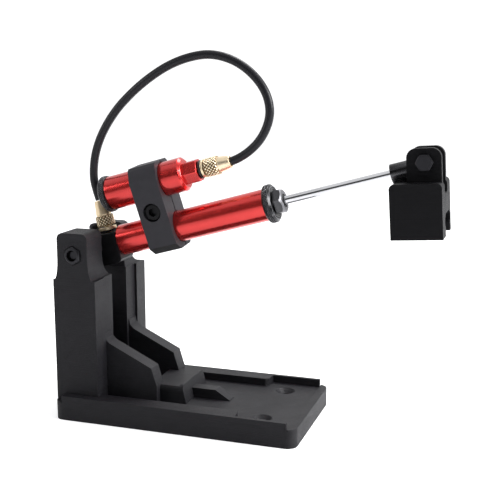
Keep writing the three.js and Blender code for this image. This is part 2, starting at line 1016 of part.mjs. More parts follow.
// ---------------------------------------------------------------- pedal bracket
const bracket = new THREE.Group();
{
  const t = (ARM_DEG * Math.PI) / 180;
  bracket.position.set(
    PIVOT_X + EYE_U * Math.cos(t) - EYE_V * Math.sin(t),
    0,
    PIVOT_Z + EYE_U * Math.sin(t) + EYE_V * Math.cos(t),
  );
  bracket.rotation.y = (-BRACKET_DEG * Math.PI) / 180;
  kit.add(bracket);
  const r = 2.2;
  const boxShape = outline([
    [BOX_X0, BOX_Z0],
    [BOX_X1, BOX_Z0],
    ...arc(BOX_X1 - r, BOX_Z1 - r, r, 0, 90, 4),
    ...arc(BOX_X0 + r, BOX_Z1 - r, r, 90, 180, 4),
  ]);
  const earShape = outline([
    [EAR_X0, BOX_Z1 - 3],
    [EAR_X1, BOX_Z1 - 3],
    ...arc(EAR_X1 - 4.4, EAR_TOP - 4.4, 4.4, 0, 90, 5),
    ...arc(EAR_X0 + 4.2, EAR_TOP - 4.2, 4.2, 90, 180, 5),
  ]);
  // the channel that takes the pedal arm, narrower at its mouth
  const channel = outline([
    [-4.6, BOX_Z0 - 1],
    [12.0, BOX_Z0 - 1],
    [12.0, BOX_Z0 + 4.4],
    [13.6, BOX_Z0 + 5.2],
    [13.6, BOX_Z0 + 7.8],
    [10.6, BOX_Z0 + 10.2],
    [-3.6, BOX_Z0 + 10.2],
    [-6.6, BOX_Z0 + 7.8],
    [-6.6, BOX_Z0 + 5.2],
    [-4.6, BOX_Z0 + 4.4],
  ]);
  const bolt = turnY(rod(-20, 20, 2.25), COARSE);
  const body = cut(
    join(
      solid(alongY(boxShape, -BOX_Y, BOX_Y)),
      solid(alongY(earShape, -EAR_Y1, -EAR_Y0 + 0.5)),
      solid(alongY(earShape, EAR_Y0 - 0.5, EAR_Y1)),
    ),
    solid(box(-30, 30, -EAR_Y0, EAR_Y0, SLOT_FLOOR, 20)),
    solid(alongX(channel, -30, 30)),
    solid(bolt),
  );
  add(bracket, "pedal_bracket", body, PRINT());
  const shank = turnY(
    [
      [-EAR_Y1 - 0.5, 0],
      [-EAR_Y1 - 0.5, 1.95],
      [13.0, 1.95],
      [13.4, 1.6],
      [13.4, 0],
    ],
    COARSE,
  );
  const head = solid(
    alongY(hexagon(7), -EAR_Y1 - 0.3 - 2.8, -EAR_Y1 - 0.3),
  );
  const headChamfer = solid(
    turnY(
      [
        [-EAR_Y1 - 3.1, 0],
        [-EAR_Y1 - 3.1, 3.5],
        [-EAR_Y1 - 2.7, 4.2],
        [-EAR_Y1, 4.2],
        [-EAR_Y1, 0],
      ],
      MEDIUM,
    ),
  );
  add(
    bracket,
    "clevis_bolt",
    join(head.intersect(headChamfer), solid(shank)),
    STEEL_BLACK(),
  );
  const nut = cut(
    solid(alongY(hexagon(7, 0.35), EAR_Y1 + 0.3, EAR_Y1 + 3.5)),
    solid(turnY(rod(5, 15, 2.25), COARSE)),
  );
  add(bracket, "clevis_nut", nut, STEEL_BLACK());
}

export default kit;
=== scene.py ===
"""Looks for the hydraulic arm kit: a small red hydraulic damper with a remote reservoir and hose, pivoted on a
printed stand, with a printed pedal bracket on the end of its rod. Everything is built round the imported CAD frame."""

import json
import math

import bmesh
import bpy
import numpy as np
from mathutils import Matrix, Vector


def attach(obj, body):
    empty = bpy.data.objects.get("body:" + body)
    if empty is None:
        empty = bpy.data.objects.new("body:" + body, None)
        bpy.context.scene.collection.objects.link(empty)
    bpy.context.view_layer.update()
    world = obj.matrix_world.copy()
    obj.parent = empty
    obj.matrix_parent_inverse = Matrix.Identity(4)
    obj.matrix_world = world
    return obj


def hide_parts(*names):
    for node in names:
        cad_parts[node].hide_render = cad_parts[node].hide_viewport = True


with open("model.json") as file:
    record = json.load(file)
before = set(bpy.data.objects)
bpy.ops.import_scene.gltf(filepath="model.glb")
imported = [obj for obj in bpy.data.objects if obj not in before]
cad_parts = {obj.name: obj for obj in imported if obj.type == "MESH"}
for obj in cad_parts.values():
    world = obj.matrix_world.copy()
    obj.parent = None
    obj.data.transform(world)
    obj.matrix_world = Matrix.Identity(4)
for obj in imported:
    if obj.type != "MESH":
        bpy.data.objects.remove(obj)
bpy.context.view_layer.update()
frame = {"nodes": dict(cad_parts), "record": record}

record = frame["record"]
nodes = frame["nodes"]
BODY = {n: b for b, ns in record["behaviour"]["bodies"].items() for n in ns}
JOINT = {j["name"]: j for j in record["behaviour"]["joints"]}
MM = 0.001

# ------------------------------------------------------------------ frames
# Local frames take millimetres and give metres in the row frame.


def basis(origin, x, y, z):
    m = Matrix.Identity(4)
    for k, axis in enumerate((x, y, z)):
        for i in range(3):
            m[i][k] = axis[i] * MM
    for i in range(3):
        m[i][3] = origin[i]
    return m


PIVOT = Vector(JOINT["damper_pivot"]["pos_m"])
U = Vector(JOINT["rod_slide"]["axis"]).normalized()  # along the cylinder
Y = Vector((0, 1, 0))
V = U.cross(Y).normalized()  # square to the cylinder, upwards
LEAN = math.radians(5)
YL = Y * math.cos(LEAN) + V * math.sin(LEAN)
VL = -Y * math.sin(LEAN) + V * math.cos(LEAN)
HINGE = Vector(JOINT["bracket_pivot"]["pos_m"])
TILT = math.radians(3.8)
BX = Vector((math.cos(TILT), 0, math.sin(TILT)))
BZ = Vector((-math.sin(TILT), 0, math.cos(TILT)))

RES_V = 24.6
FIT_U = 7.0
ARM = basis(PIVOT, U, Y, V)
TOP = basis(PIVOT, U, YL, VL)
RES_O = PIVOT + VL * (RES_V * MM)
RES = basis(RES_O, U, YL, VL)
REAR_O = PIVOT + U * (FIT_U * MM)
REAR = basis(REAR_O, U, Y, V)
BRK = basis(HINGE, BX, Y, BZ)
HEAD = basis(PIVOT, Vector((1, 0, 0)), Y, Vector((0, 0, 1)))

# ------------------------------------------------------------------ camera
AZ, EL, ROLL = math.radians(18.12), math.radians(10.87), math.radians(0.11)
back = Vector(
    (math.sin(AZ) * math.cos(EL), -math.cos(AZ) * math.cos(EL), math.sin(EL))
)
right = Vector((math.cos(AZ), math.sin(AZ), 0))
up = back.cross(right)
right_r = right * math.cos(ROLL) + up * math.sin(ROLL)
up_r = up * math.cos(ROLL) - right * math.sin(ROLL)
cam_data = bpy.data.cameras.new("camera")
cam_data.lens = 65.78
cam_data.sensor_width = 36
cam_data.dof.use_dof = False
cam_data.clip_start, cam_data.clip_end = 0.01, 50
cam = bpy.data.objects.new("camera", cam_data)
bpy.context.scene.collection.objects.link(cam)
m = Matrix.Identity(4)
for k, axis in enumerate((right_r, up_r, back)):
    for i in range(3):
        m[i][k] = axis[i]
for i, x in enumerate((0.16692, -0.41840, 0.17093)):
    m[i][3] = x
cam.matrix_world = m
bpy.context.scene.camera = cam


# ------------------------------------------------------------------ node helpers
class Nodes:
    """A small helper for writing shader graphs."""

    def __init__(self, name):
        self.mat = bpy.data.materials.new(name)
        self.mat.use_nodes = True
        self.t = self.mat.node_tree
        self.bsdf = self.t.nodes["Principled BSDF"]
        self.pos = self.t.nodes.new("ShaderNodeTexCoord")

    def new(self, kind, **values):
        n = self.t.nodes.new(kind)
        for k, v in values.items():
            setattr(n, k, v)
        return n

    def link(self, a, b):
        self.t.links.new(a, b)

    def feed(self, socket, value):
        if hasattr(value, "is_linked") or isinstance(value, bpy.types.NodeSocket):
            self.link(value, socket)
        else:
            socket.default_value = value

    def math(self, op, a, b=0.0, c=0.0, clamp=False):
        n = self.new("ShaderNodeMath", operation=op, use_clamp=clamp)
        for s, v in zip(n.inputs, (a, b, c)):
            self.feed(s, v)
        return n.outputs[0]

    def vec(self, op, a, b=(0, 0, 0)):
        n = self.new("ShaderNodeVectorMath", operation=op)
        self.feed(n.inputs[0], a)
        self.feed(n.inputs[1], b)
        return n

    def dot(self, a, b):
        return self.vec("DOT_PRODUCT", a, b).outputs["Value"]

    def noise(self, scale, detail=2.0, rough=0.5, vector=None, w=None):
        n = self.new("ShaderNodeTexNoise")
        n.inputs["Scale"].default_value = scale
        n.inputs["Detail"].default_value = detail
        n.inputs["Roughness"].default_value = rough
        if w is not None:
            n.noise_dimensions = "1D"
            self.feed(n.inputs["W"], w)
        else:
            self.feed(
                n.inputs["Vector"], self.pos.outputs["Object"] if vector is None else vector
            )
        return n.outputs["Fac"]

    def span(self, value, a0, a1, b0, b1, smooth=False):
        n = self.new("ShaderNodeMapRange", clamp=True)
        if smooth:
            n.interpolation_type = "SMOOTHSTEP"
        self.feed(n.inputs["Value"], value)
        for k, v in (("From Min", a0), ("From Max", a1), ("To Min", b0), ("To Max", b1)):
            n.inputs[k].default_value = v
        return n.outputs["Result"]

    def mix(self, fac, a, b):
        n = self.new("ShaderNodeMix", data_type="RGBA")
        self.feed(n.inputs["Factor"], fac)
        for s, v in ((n.inputs[6], a), (n.inputs[7], b)):
            self.feed(s, v if isinstance(v, bpy.types.NodeSocket) else (*v, 1.0))
        return n.outputs[2]

    def bump(self, height, distance, strength=1.0, normal=None):
        n = self.new("ShaderNodeBump")
        n.inputs["Strength"].default_value = strength
        n.inputs["Distance"].default_value = distance
        self.feed(n.inputs["Height"], height)
        if normal is not None:
            self.link(normal, n.inputs["Normal"])
        return n.outputs["Normal"]

    def along(self, origin, axis):
        """(distance along an axis, distance from it), in metres."""
        rel = self.vec("SUBTRACT", self.pos.outputs["Object"], tuple(origin)).outputs[0]
        u = self.dot(rel, tuple(axis))
        r2 = self.math("SUBTRACT", self.dot(rel, rel), self.math("MULTIPLY", u, u))
        return u, self.math("SQRT", self.math("MAXIMUM", r2, 0.0))

    def edges(self, low=0.5, high=0.6):
        g = self.new("ShaderNodeNewGeometry")
        return self.span(g.outputs["Pointiness"], low, high, 0.0, 1.0)


def printed(name, layer, hatch_angle, low, high, specular):
    """Black printed plastic: layer lines up its walls, raster lines on its flat tops."""
    n = Nodes(name)
    p = n.pos.outputs["Object"]
    h = n.dot(p, tuple(layer))
    facing = n.math("ABSOLUTE", n.dot(n.pos.outputs["Normal"], tuple(layer)))
    flat = n.span(facing, 0.82, 0.95, 0.0, 1.0)
    # walls: rounded beads 0.24 mm high, each a little different
    bead = n.math("ABSOLUTE", n.math("SINE", n.math("MULTIPLY", h, math.pi / 0.00024)))
    per_layer = n.noise(1.0, 1.0, 0.6, w=n.math("MULTIPLY", h, 2600.0))
    wander = n.noise(260.0, 3.0, 0.55)
    wall = n.math("ADD", n.math("MULTIPLY", bead, 0.6), n.math("MULTIPLY", per_layer, 0.9))
    wall = n.math("ADD", wall, n.math("MULTIPLY", wander, 0.35))
    # tops: raster passes 0.5 mm apart
    a = math.radians(hatch_angle)
    e1 = Vector((0, 1, 0)) if abs(layer[1]) < 0.5 else Vector((1, 0, 0))
    e2 = Vector(layer).cross(e1)
    d = e1 * math.cos(a) + e2 * math.sin(a)
    across = n.dot(p, tuple(d))
    slow = n.noise(180.0, 1.0, 0.5)
    across = n.math("ADD", across, n.math("MULTIPLY", slow, 0.00012))
    pass_ = n.math("ABSOLUTE", n.math("SINE", n.math("MULTIPLY", across, math.pi / 0.0005)))
    per_pass = n.noise(1.0, 1.0, 0.6, w=n.math("MULTIPLY", across, 1900.0))
    top = n.math("ADD", n.math("MULTIPLY", pass_, 0.8), n.math("MULTIPLY", per_pass, 0.8))
    mix = n.new("ShaderNodeMix", data_type="FLOAT")
    n.link(flat, mix.inputs[0])
    n.link(wall, mix.inputs[2])
    n.link(top, mix.inputs[3])
    height = mix.outputs[0]
    grain = n.noise(2600.0, 2.0, 0.6)
    normal = n.bump(height, 0.00009, 1.0)
    normal = n.bump(grain, 0.00001, 0.5, normal)
    n.link(normal, n.bsdf.inputs["Normal"])
    cloud = n.noise(38.0, 4.0, 0.6)
    band = n.noise(1.0, 2.0, 0.7, w=n.math("MULTIPLY", h, 900.0))
    tone = n.math("ADD", n.math("MULTIPLY", cloud, 0.35), n.math("MULTIPLY", height, 0.3))
    tone = n.math("ADD", tone, n.math("MULTIPLY", band, 0.35))
    tone = n.span(tone, 0.35, 0.85, 0.0, 1.0)
    worn = n.edges(0.52, 0.6)
    tone = n.math("ADD", tone, n.math("MULTIPLY", worn, 1.0), clamp=False)
    # slopes: each layer shows as a step, with a painted shadow line under its edge and a painted highlight on the lit
    # part of the step
    slope = n.math("MULTIPLY", n.span(facing, 0.5, 0.66, 0.0, 1.0), n.span(facing, 0.9, 0.96, 1.0, 0.0))
    step = n.span(n.math("SINE", n.math("MULTIPLY", h, 2 * math.pi / 0.0004)), -0.2, 0.6, 0.0, 1.0)
    shade = n.mix(tone, low, high)
    shade = n.mix(n.math("MULTIPLY", n.math("MULTIPLY", slope, step), 0.75), shade, tuple(c * 0.12 for c in low))
    shade = n.mix(n.math("MULTIPLY", n.math("MULTIPLY", slope, n.math("SUBTRACT", 1.0, step)), 0.45), shade, tuple(c * 2.4 for c in high))
    n.link(shade, n.bsdf.inputs["Base Color"])
    n.link(n.span(cloud, 0.3, 0.7, 0.42, 0.56), n.bsdf.inputs["Roughness"])
    n.bsdf.inputs["Specular IOR Level"].default_value = specular
    return n.mat


def turned(name, color, origin, axis, rough=(0.2, 0.3), marks=0.0000015, coat=0.0, tint=None, aniso=0.0, metal=1.0, pitch=9000.0, wear=0.0, wear_color=(0.5, 0.5, 0.5), coat_rough=0.12, knurl_shade_and_highlight=None):
    """Turned metal: fine rings about the axis on the bores, barrels and faces, soft variation in the finish."""
    n = Nodes(name)
    u, r = n.along(origin, axis)
    path = n.math("ADD", u, r)
    rings = n.noise(1.0, 3.0, 0.7, w=n.math("MULTIPLY", path, pitch))
    broad = n.noise(1.0, 2.0, 0.5, w=n.math("MULTIPLY", path, pitch / 14))
    cloud = n.noise(90.0, 4.0, 0.6)
    fine = n.noise(2200.0, 2.0, 0.5)
    both = n.math("ADD", n.math("MULTIPLY", rings, 0.7), n.math("MULTIPLY", broad, 0.6))
    n.link(n.bump(both, marks, 1.0), n.bsdf.inputs["Normal"])
    mixed = n.math("ADD", n.math("MULTIPLY", cloud, 0.6), n.math("MULTIPLY", rings, 0.4))
    n.link(n.span(mixed, 0.3, 0.7, *rough), n.bsdf.inputs["Roughness"])
    dark = tuple(c * 0.86 for c in color) if tint is None else tint
    shade = n.math("ADD", n.math("MULTIPLY", cloud, 0.7), n.math("MULTIPLY", fine, 0.3))
    base = n.mix(n.span(shade, 0.32, 0.68, 0.0, 1.0), dark, color)
    if wear:
        base = n.mix(n.math("MULTIPLY", n.edges(0.53, 0.62), wear), base, wear_color)
    # painted shade in the knurl grooves and painted highlight on the crests, by distance from the axis
    if knurl_shade_and_highlight:
        low, high, groove_shade_color, crest_highlight_color = knurl_shade_and_highlight
        base = n.mix(n.span(r, (low + 0.62 * (high - low)) * MM, high * MM, 0.0, 1.0), base, crest_highlight_color)
        base = n.mix(n.span(r, (low + 0.3 * (high - low)) * MM, (low + 0.68 * (high - low)) * MM, 1.0, 0.0), base, groove_shade_color)
    n.link(base, n.bsdf.inputs["Base Color"])
    n.bsdf.inputs["Metallic"].default_value = metal
    n.bsdf.inputs["Coat Weight"].default_value = coat
    n.bsdf.inputs["Coat Roughness"].default_value = coat_rough
    return n.mat


def plain(name, color, rough=(0.5, 0.65), metal=0.0, grain=900.0, depth=0.00001, specular=0.5, dark=0.8):
    """Moulded, sprayed or oxide-finished: an even surface with a fine grain and soft patches."""
    n = Nodes(name)
    fine = n.noise(grain, 3.0, 0.6)
    cloud = n.noise(grain / 12, 3.0, 0.6)
    n.link(n.bump(fine, depth, 0.8), n.bsdf.inputs["Normal"])
    n.link(n.span(cloud, 0.3, 0.7, *rough), n.bsdf.inputs["Roughness"])
    low = tuple(c * dark for c in color)
    n.link(n.mix(n.span(cloud, 0.3, 0.7, 0.0, 1.0), low, color), n.bsdf.inputs["Base Color"])
    n.bsdf.inputs["Metallic"].default_value = metal
    n.bsdf.inputs["Specular IOR Level"].default_value = specular
    return n.mat


STAND_PRINT = printed("printed_stand", (0, 0, 1), 45, (0.0040, 0.0039, 0.0050), (0.0105, 0.0102, 0.0128), 0.22)
BRACKET_PRINT = printed("printed_bracket", tuple(BZ), 45, (0.0017, 0.0017, 0.0022), (0.0049, 0.0049, 0.0062), 0.11)
RED_TUBE = turned("red_tube", (0.71, 0.034, 0.031), PIVOT, U, (0.18, 0.28), coat=0.6, metal=0.8)
RED_RES = turned("red_reservoir", (0.65, 0.029, 0.027), RES_O, U, (0.18, 0.28), coat=0.6, metal=0.8)
BLACK_TUBE = turned("black_anodised_cylinder", (0.012, 0.012, 0.014), PIVOT, U, (0.22, 0.34), metal=0.75, coat=0.25, wear=0.6, wear_color=(0.14, 0.14, 0.15))
BLACK_RES = turned("black_anodised_reservoir", (0.012, 0.012, 0.014), RES_O, U, (0.22, 0.34), metal=0.75, coat=0.25, wear=0.6, wear_color=(0.14, 0.14, 0.15))
BARE_FACE = turned("turned_face", (0.21, 0.21, 0.225), PIVOT, U, (0.36, 0.5), marks=0.000004)
CLAMP_BLACK = plain("black_anodised_satin", (0.035, 0.034, 0.040), (0.46, 0.58), metal=0.35, grain=2600.0, depth=0.000006, specular=0.3)
LUG_BLACK = plain("black_anodised_milled", (0.012, 0.012, 0.0135), (0.3, 0.42), metal=0.5, grain=2200.0, depth=0.000006, specular=0.25)
STEEL = plain("black_oxide_steel", (0.030, 0.030, 0.034), (0.28, 0.42), metal=0.8, grain=1800.0, depth=0.000008, specular=0.4)
CHROME = turned("hard_chrome", (0.74, 0.745, 0.77), PIVOT, U, (0.05, 0.09), marks=0.0000004)
BRASS_FRONT = turned("brass_front", (0.95, 0.80, 0.57), RES_O, U, (0.26, 0.38), tint=(0.90, 0.73, 0.49), metal=0.85)
BRASS_REAR = turned("brass_rear", (0.92, 0.75, 0.51), REAR_O, V, (0.26, 0.38), tint=(0.86, 0.68, 0.44), metal=0.85)
# the last tuple of each knurl material holds its painted groove shade and painted crest highlight
KNURL_FRONT = turned("brass_knurl_front", (0.98, 0.80, 0.54), RES_O, U, (0.28, 0.38), tint=(0.92, 0.73, 0.46), metal=0.68, knurl_shade_and_highlight=(4.05, 4.7, (0.24, 0.145, 0.058), (1.0, 0.94, 0.76)))
KNURL_REAR = turned("brass_knurl_rear", (0.94, 0.75, 0.49), REAR_O, V, (0.28, 0.38), tint=(0.88, 0.68, 0.42), metal=0.72, knurl_shade_and_highlight=(4.05, 4.7, (0.12, 0.068, 0.026), (1.0, 0.91, 0.71)))
KNURL_RING = turned("black_knurl_ring", (0.009, 0.009, 0.011), PIVOT, U, (0.2, 0.3), metal=0.75, coat=0.2, knurl_shade_and_highlight=(8.95, 9.5, (0.002, 0.002, 0.003), (0.25, 0.25, 0.27)))
KNURL_CAP = turned("black_knurl_cap", (0.009, 0.009, 0.011), RES_O, U, (0.2, 0.3), metal=0.75, coat=0.2, knurl_shade_and_highlight=(8.75, 9.3, (0.002, 0.002, 0.003), (0.25, 0.25, 0.27)))
SCREW_BLACK = plain("black_oxide_screw", (0.0060, 0.0060, 0.0068), (0.28, 0.4), metal=0.6, grain=1800.0, depth=0.000008, specular=0.3)
# a darker copy of the satin black for the down-facing chamfer: painted shade
CLAMP_CHAMFER_SHADE = plain("black_anodised_chamfer_painted_shade", (0.0040, 0.0040, 0.0048), (0.3, 0.42), metal=0.3, grain=2600.0, depth=0.000006, specular=0.12)
BRASS_BUSH = turned("bronze_bush", (0.55, 0.38, 0.18), PIVOT, U, (0.25, 0.38))
RUBBER = plain("seal_rubber", (0.013, 0.013, 0.014), (0.45, 0.6), grain=1500.0, depth=0.000012)
HOSE = plain("hose_rubber", (0.0075, 0.0075, 0.0105), (0.34, 0.44), grain=1100.0, depth=0.000012, specular=0.28)
POLY = turned("machined_polymer", (0.70, 0.69, 0.65), PIVOT, U, (0.42, 0.55), metal=0.0, marks=0.000004)


# ------------------------------------------------------------------ shapes (local millimetres)
def soft(profile, r=0.2, k=3, skip=18):
    """The profile with its corners rounded, and a point just off each rounding so that the flats shade flat."""
    closed = profile[0] == profile[-1]
    pts = [Vector((a, b)) for a, b in (profile[:-1] if closed else profile)]
    n = len(pts)
    out = []
    for i, p in enumerate(pts):
        if not closed and i in (0, n - 1):
            out.append((p.x, p.y))
            continue
        a, b = pts[i - 1], pts[(i + 1) % n]
        da, db = a - p, b - p
        if da.length < 1e-6 or db.length < 1e-6:
            continue
        turn = math.degrees(math.pi - da.angle(db))
        t = min(r, da.length * 0.4, db.length * 0.4)
        if turn < skip:
            out.append((p.x, p.y))
            continue
        da.normalize()
        db.normalize()
        edge = min(0.06, t * 0.3)
        q = p + da * (t + edge)
        out.append((q.x, q.y))
        for j in range(k + 1):
            s = j / k
            q = (p + da * t) * (1 - s) ** 2 + p * (2 * s * (1 - s)) + (p + db * t) * s * s
            out.append((q.x, q.y))
        q = p + db * (t + edge)
        out.append((q.x, q.y))
    if closed:
        out.append(out[0])
    return out


def place(axis, a, r, phi):
    c, s = r * math.cos(phi), r * math.sin(phi)
    return {"x": (a, c, s), "y": (c, a, s), "z": (c, s, a)}[axis]


def lathe(profile, axis="x", n=128):
    closed = profile[0] == profile[-1]
    pts = profile[:-1] if closed else profile
    verts, rows, faces = [], [], []
    for a, r in pts:
        if r < 1e-7:
            rows.append([len(verts)] * n)
            verts.append(place(axis, a, 0, 0))
        else:
            rows.append(list(range(len(verts), len(verts) + n)))
            verts += [place(axis, a, r, 2 * math.pi * k / n) for k in range(n)]
    m = len(rows)
    for i in range(m if closed else m - 1):
        A, B = rows[i], rows[(i + 1) % m]
        for k in range(n):
            q = (k + 1) % n
            f = []
            for v in (A[k], A[q], B[q], B[k]):
                if v not in f:
                    f.append(v)
            if len(f) > 2:
                faces.append(tuple(f))
    return verts, faces


def hexbar(af, a0, a1, turn=0.0, axis="x", bore=0.0, n=96, c0=True, c1=True, face=0.96, slope=0.55, blunt=0.07):
    """A hexagon bar, its ends chamfered by a cone, with a bore if asked. A corner lies at the angle turn."""
    columns = []
    for k in range(n):
        phi = turn + 2 * math.pi * k / n
        rel = ((phi - turn) % (math.pi / 3)) - math.pi / 6
        h = min(af / 2 / math.cos(rel), af / math.sqrt(3) - blunt)
        rf = af / 2 * face
        d = (h - rf) * slope
        col = [(a0, bore)]
        col += [(a0, rf), (a0 + d, h)] if c0 else [(a0, h)]
        col += [(a1 - d, h), (a1, rf)] if c1 else [(a1, h)]
        col += [(a1, bore)]
        columns.append((phi, col))
    verts, faces = [], []
    m = len(columns[0][1])
    for phi, col in columns:
        for a, r in col:
            verts.append(place(axis, a, r, phi))
    for k in range(n):
        A, B = k * m, ((k + 1) % n) * m
        for i in range(m if bore else m - 1):
            j = (i + 1) % m
            faces.append((A + i, A + j, B + j, B + i))
    return verts, faces


def knurl(R, a0, a1, pitch, depth, axis="x", flat=1.25, sub=4, fade=0.3):
    """A band of diamond knurling: pyramids between two sets of crossing grooves."""
    starts = max(12, round(2 * math.pi * R / pitch))
    n = starts * sub
    step = 2 * math.pi * R / n
    rows = max(4, round((a1 - a0) / step))
    verts, faces = [], []

    def tri(x):
        f = x - math.floor(x)
        return 1 - abs(2 * f - 1)

    for j in range(-1, rows + 2):
        jj = min(max(j, 0), rows)
        a = a0 + (a1 - a0) * jj / rows
        near = min(a - a0, a1 - a)
        ramp = min(1.0, max(0.0, near / fade))
        for i in range(n):
            h = min(tri((i + jj) / sub), tri((i - jj) / sub))
            h = min(1.0, h * flat) * (0.15 + 0.85 * ramp)
            r = R - depth + depth * h
            if j in (-1, rows + 1):
                r = R - depth - 0.25
            verts.append(place(axis, a, r, 2 * math.pi * i / n))
    for j in range(rows + 2):
        for i in range(n):
            q = (i + 1) % n
            A, B, C, D = j * n + i, j * n + q, (j + 1) * n + q, (j + 1) * n + i
            if (i + (j - 1) + 1) % 2 == 0:
                faces += [(A, B, D), (B, C, D)]
            else:
                faces += [(A, B, C), (A, C, D)]
    return verts, faces


def prism(points, a0, a1, axis="y"):
    verts, faces = [], []
    for a in (a0, a1):
        for p, q in points:
            verts.append({"x": (a, p, q), "y": (p, a, q), "z": (p, q, a)}[axis])
    n = len(points)
    faces.append(tuple(range(n)))
    faces.append(tuple(range(2 * n - 1, n - 1, -1)))
    for i in range(n):
        j = (i + 1) % n
        faces.append((i, j, n + j, n + i))
    return verts, faces


def block(x0, x1, y0, y1, z0, z1):
    return prism([(x0, z0), (x1, z0), (x1, z1), (x0, z1)], y0, y1, "y")


def arc(cx, cy, r, a0, a1, n):
    return [
        (
            cx + r * math.cos(math.radians(a0 + (a1 - a0) * i / n)),
            cy + r * math.sin(math.radians(a0 + (a1 - a0) * i / n)),
        )
        for i in range(n + 1)
    ]


def moved(shape, dx=0.0, dy=0.0, dz=0.0):
    v, f = shape
    return [(x + dx, y + dy, z + dz) for x, y, z in v], f


def together(*shapes):
    verts, faces = [], []
    for v, f in shapes:
        k = len(verts)
        verts += list(v)
        faces += [tuple(i + k for i in g) for g in f]
    return verts, faces


def raw(name, shape, matrix):
    """An object from local millimetres, with its place in its mesh."""
    v, f = shape
    co = np.array(v, float)
    M = np.array(matrix, float)
    co = co @ M[:3, :3].T + M[:3, 3]
    me = bpy.data.meshes.new(name)
    me.from_pydata([tuple(p) for p in co], [], [tuple(g) for g in f])
    bm = bmesh.new()
    bm.from_mesh(me)
    bmesh.ops.recalc_face_normals(bm, faces=bm.faces)
    bm.to_mesh(me)
    bm.free()
    o = bpy.data.objects.new(name, me)
    bpy.context.scene.collection.objects.link(o)
    return o


def apply(o):
    dg = bpy.context.evaluated_depsgraph_get()
    me = bpy.data.meshes.new_from_object(o.evaluated_get(dg), depsgraph=dg)
    o.modifiers.clear()
    old = o.data
    o.data = me
    bpy.data.meshes.remove(old)
    return o


def carve(o, *steps):
    """Boolean steps: ("UNION" or "DIFFERENCE" or "INTERSECT", other object), which are removed after."""
    for op, other in steps:
        md = o.modifiers.new("b", "BOOLEAN")
        md.operation, md.solver, md.object = op, "EXACT", other
        apply(o)
        me = other.data
        bpy.data.objects.remove(other)
        bpy.data.meshes.remove(me)
    return o


def ease(o, width, segments=3, angle=32.0, harden=True):
    """Rounded edges, as a real cutter or nozzle leaves them. Width in millimetres."""
    bm = bmesh.new()
    bm.from_mesh(o.data)
    bmesh.ops.remove_doubles(bm, verts=bm.verts, dist=3e-6)
    bmesh.ops.dissolve_limit(
        bm, angle_limit=math.radians(0.4), verts=bm.verts, edges=bm.edges, use_dissolve_boundaries=False
    )
    bm.to_mesh(o.data)
    bm.free()
    for p in o.data.polygons:
        p.use_smooth = True
    md = o.modifiers.new("bevel", "BEVEL")
    md.width = width * MM
    md.segments = segments
    md.limit_method = "ANGLE"
    md.angle_limit = math.radians(angle)
    md.use_clamp_overlap = True
    md.harden_normals = harden
    md.miter_outer = "MITER_ARC"
    apply(o)
    md = o.modifiers.new("shading", "WEIGHTED_NORMAL")
    md.mode = "FACE_AREA"
    md.weight = 100
    md.keep_sharp = False
    return apply(o)


def finish_piece(o, material, node, sharp=27.0, flat=False):
    """Gives a piece its material, shading and body, and lets it stand for its CAD node."""
    me = o.data
    if isinstance(material, (list, tuple)):
        me.materials.clear()
        for mm in material:
            me.materials.append(mm)
    else:
        me.materials.clear()
        me.materials.append(material)
        if me.polygons and hasattr(me.polygons[0], "material_index"):
            me.polygons.foreach_set("material_index", [0] * len(me.polygons))
    if not flat and sharp is not None:
        me.polygons.foreach_set("use_smooth", [True] * len(me.polygons))
        me.set_sharp_from_angle(angle=math.radians(sharp))
    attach(o, BODY[node])
    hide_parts(node)
    return o


def extra_piece(o, material, body, sharp=27.0, flat=False):
    me = o.data
    me.materials.clear()
    me.materials.append(material)
    if flat:
        me.polygons.foreach_set("use_smooth", [False] * len(me.polygons))
    else:
        me.polygons.foreach_set("use_smooth", [True] * len(me.polygons))
        me.set_sharp_from_angle(angle=math.radians(sharp))
    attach(o, body)
    return o


# ------------------------------------------------------------------ hose
HOSE_R = 2.1
REAR_NUT = (8.8, 14.8, 22.5)
FRONT_NUT = (69.0, 76.4, 82.4)
y_end, z_end = -RES_V * math.sin(LEAN), RES_V * math.cos(LEAN)
route = [
    (FIT_U, REAR_NUT[2] + 0.3), (FIT_U - 0.2, 28.0), (7.2, 34.0), (9.8, 41.7), (14.0, 49.0), (20.5, 56.4),
    (29.8, 63.8), (40.8, 69.8), (53.0, 74.5), (64.4, 77.2), (75.0, 77.8), (84.8, 76.4), (93.0, 72.6),
    (99.8, 66.9), (105.1, 59.3), (107.8, 51.7), (108.1, 45.5), (106.8, 40.3), (103.7, 35.2), (99.0, 30.6),
    (93.3, 27.3), (87.4, 25.3), (FRONT_NUT[2] + 0.3, z_end),
]
last = len(route) - 1
knots = []
for i, (a, b) in enumerate(route):
    t = i / last
    knots.append(np.array([a, y_end * t * t * (3 - 2 * t), b]))


def smooth_line(points, per=8):
    """Centripetal Catmull-Rom through the points."""
    pts = [2 * points[0] - points[1]] + list(points) + [2 * points[-1] - points[-2]]
    out = []
    for i in range(1, len(pts) - 2):
        p0, p1, p2, p3 = pts[i - 1 : i + 3]
        t0 = 0.0
        t1 = t0 + np.linalg.norm(p1 - p0) ** 0.5
        t2 = t1 + np.linalg.norm(p2 - p1) ** 0.5
        t3 = t2 + np.linalg.norm(p3 - p2) ** 0.5
        for k in range(per):
            t = t1 + (t2 - t1) * k / per
            a1 = (t1 - t) / (t1 - t0) * p0 + (t - t0) / (t1 - t0) * p1
            a2 = (t2 - t) / (t2 - t1) * p1 + (t - t1) / (t2 - t1) * p2
            a3 = (t3 - t) / (t3 - t2) * p2 + (t - t2) / (t3 - t2) * p3
            b1 = (t2 - t) / (t2 - t0) * a1 + (t - t0) / (t2 - t0) * a2
            b2 = (t3 - t) / (t3 - t1) * a2 + (t - t1) / (t3 - t1) * a3
            out.append((t2 - t) / (t2 - t1) * b1 + (t - t1) / (t2 - t1) * b2)
    out.append(points[-1])
    return out


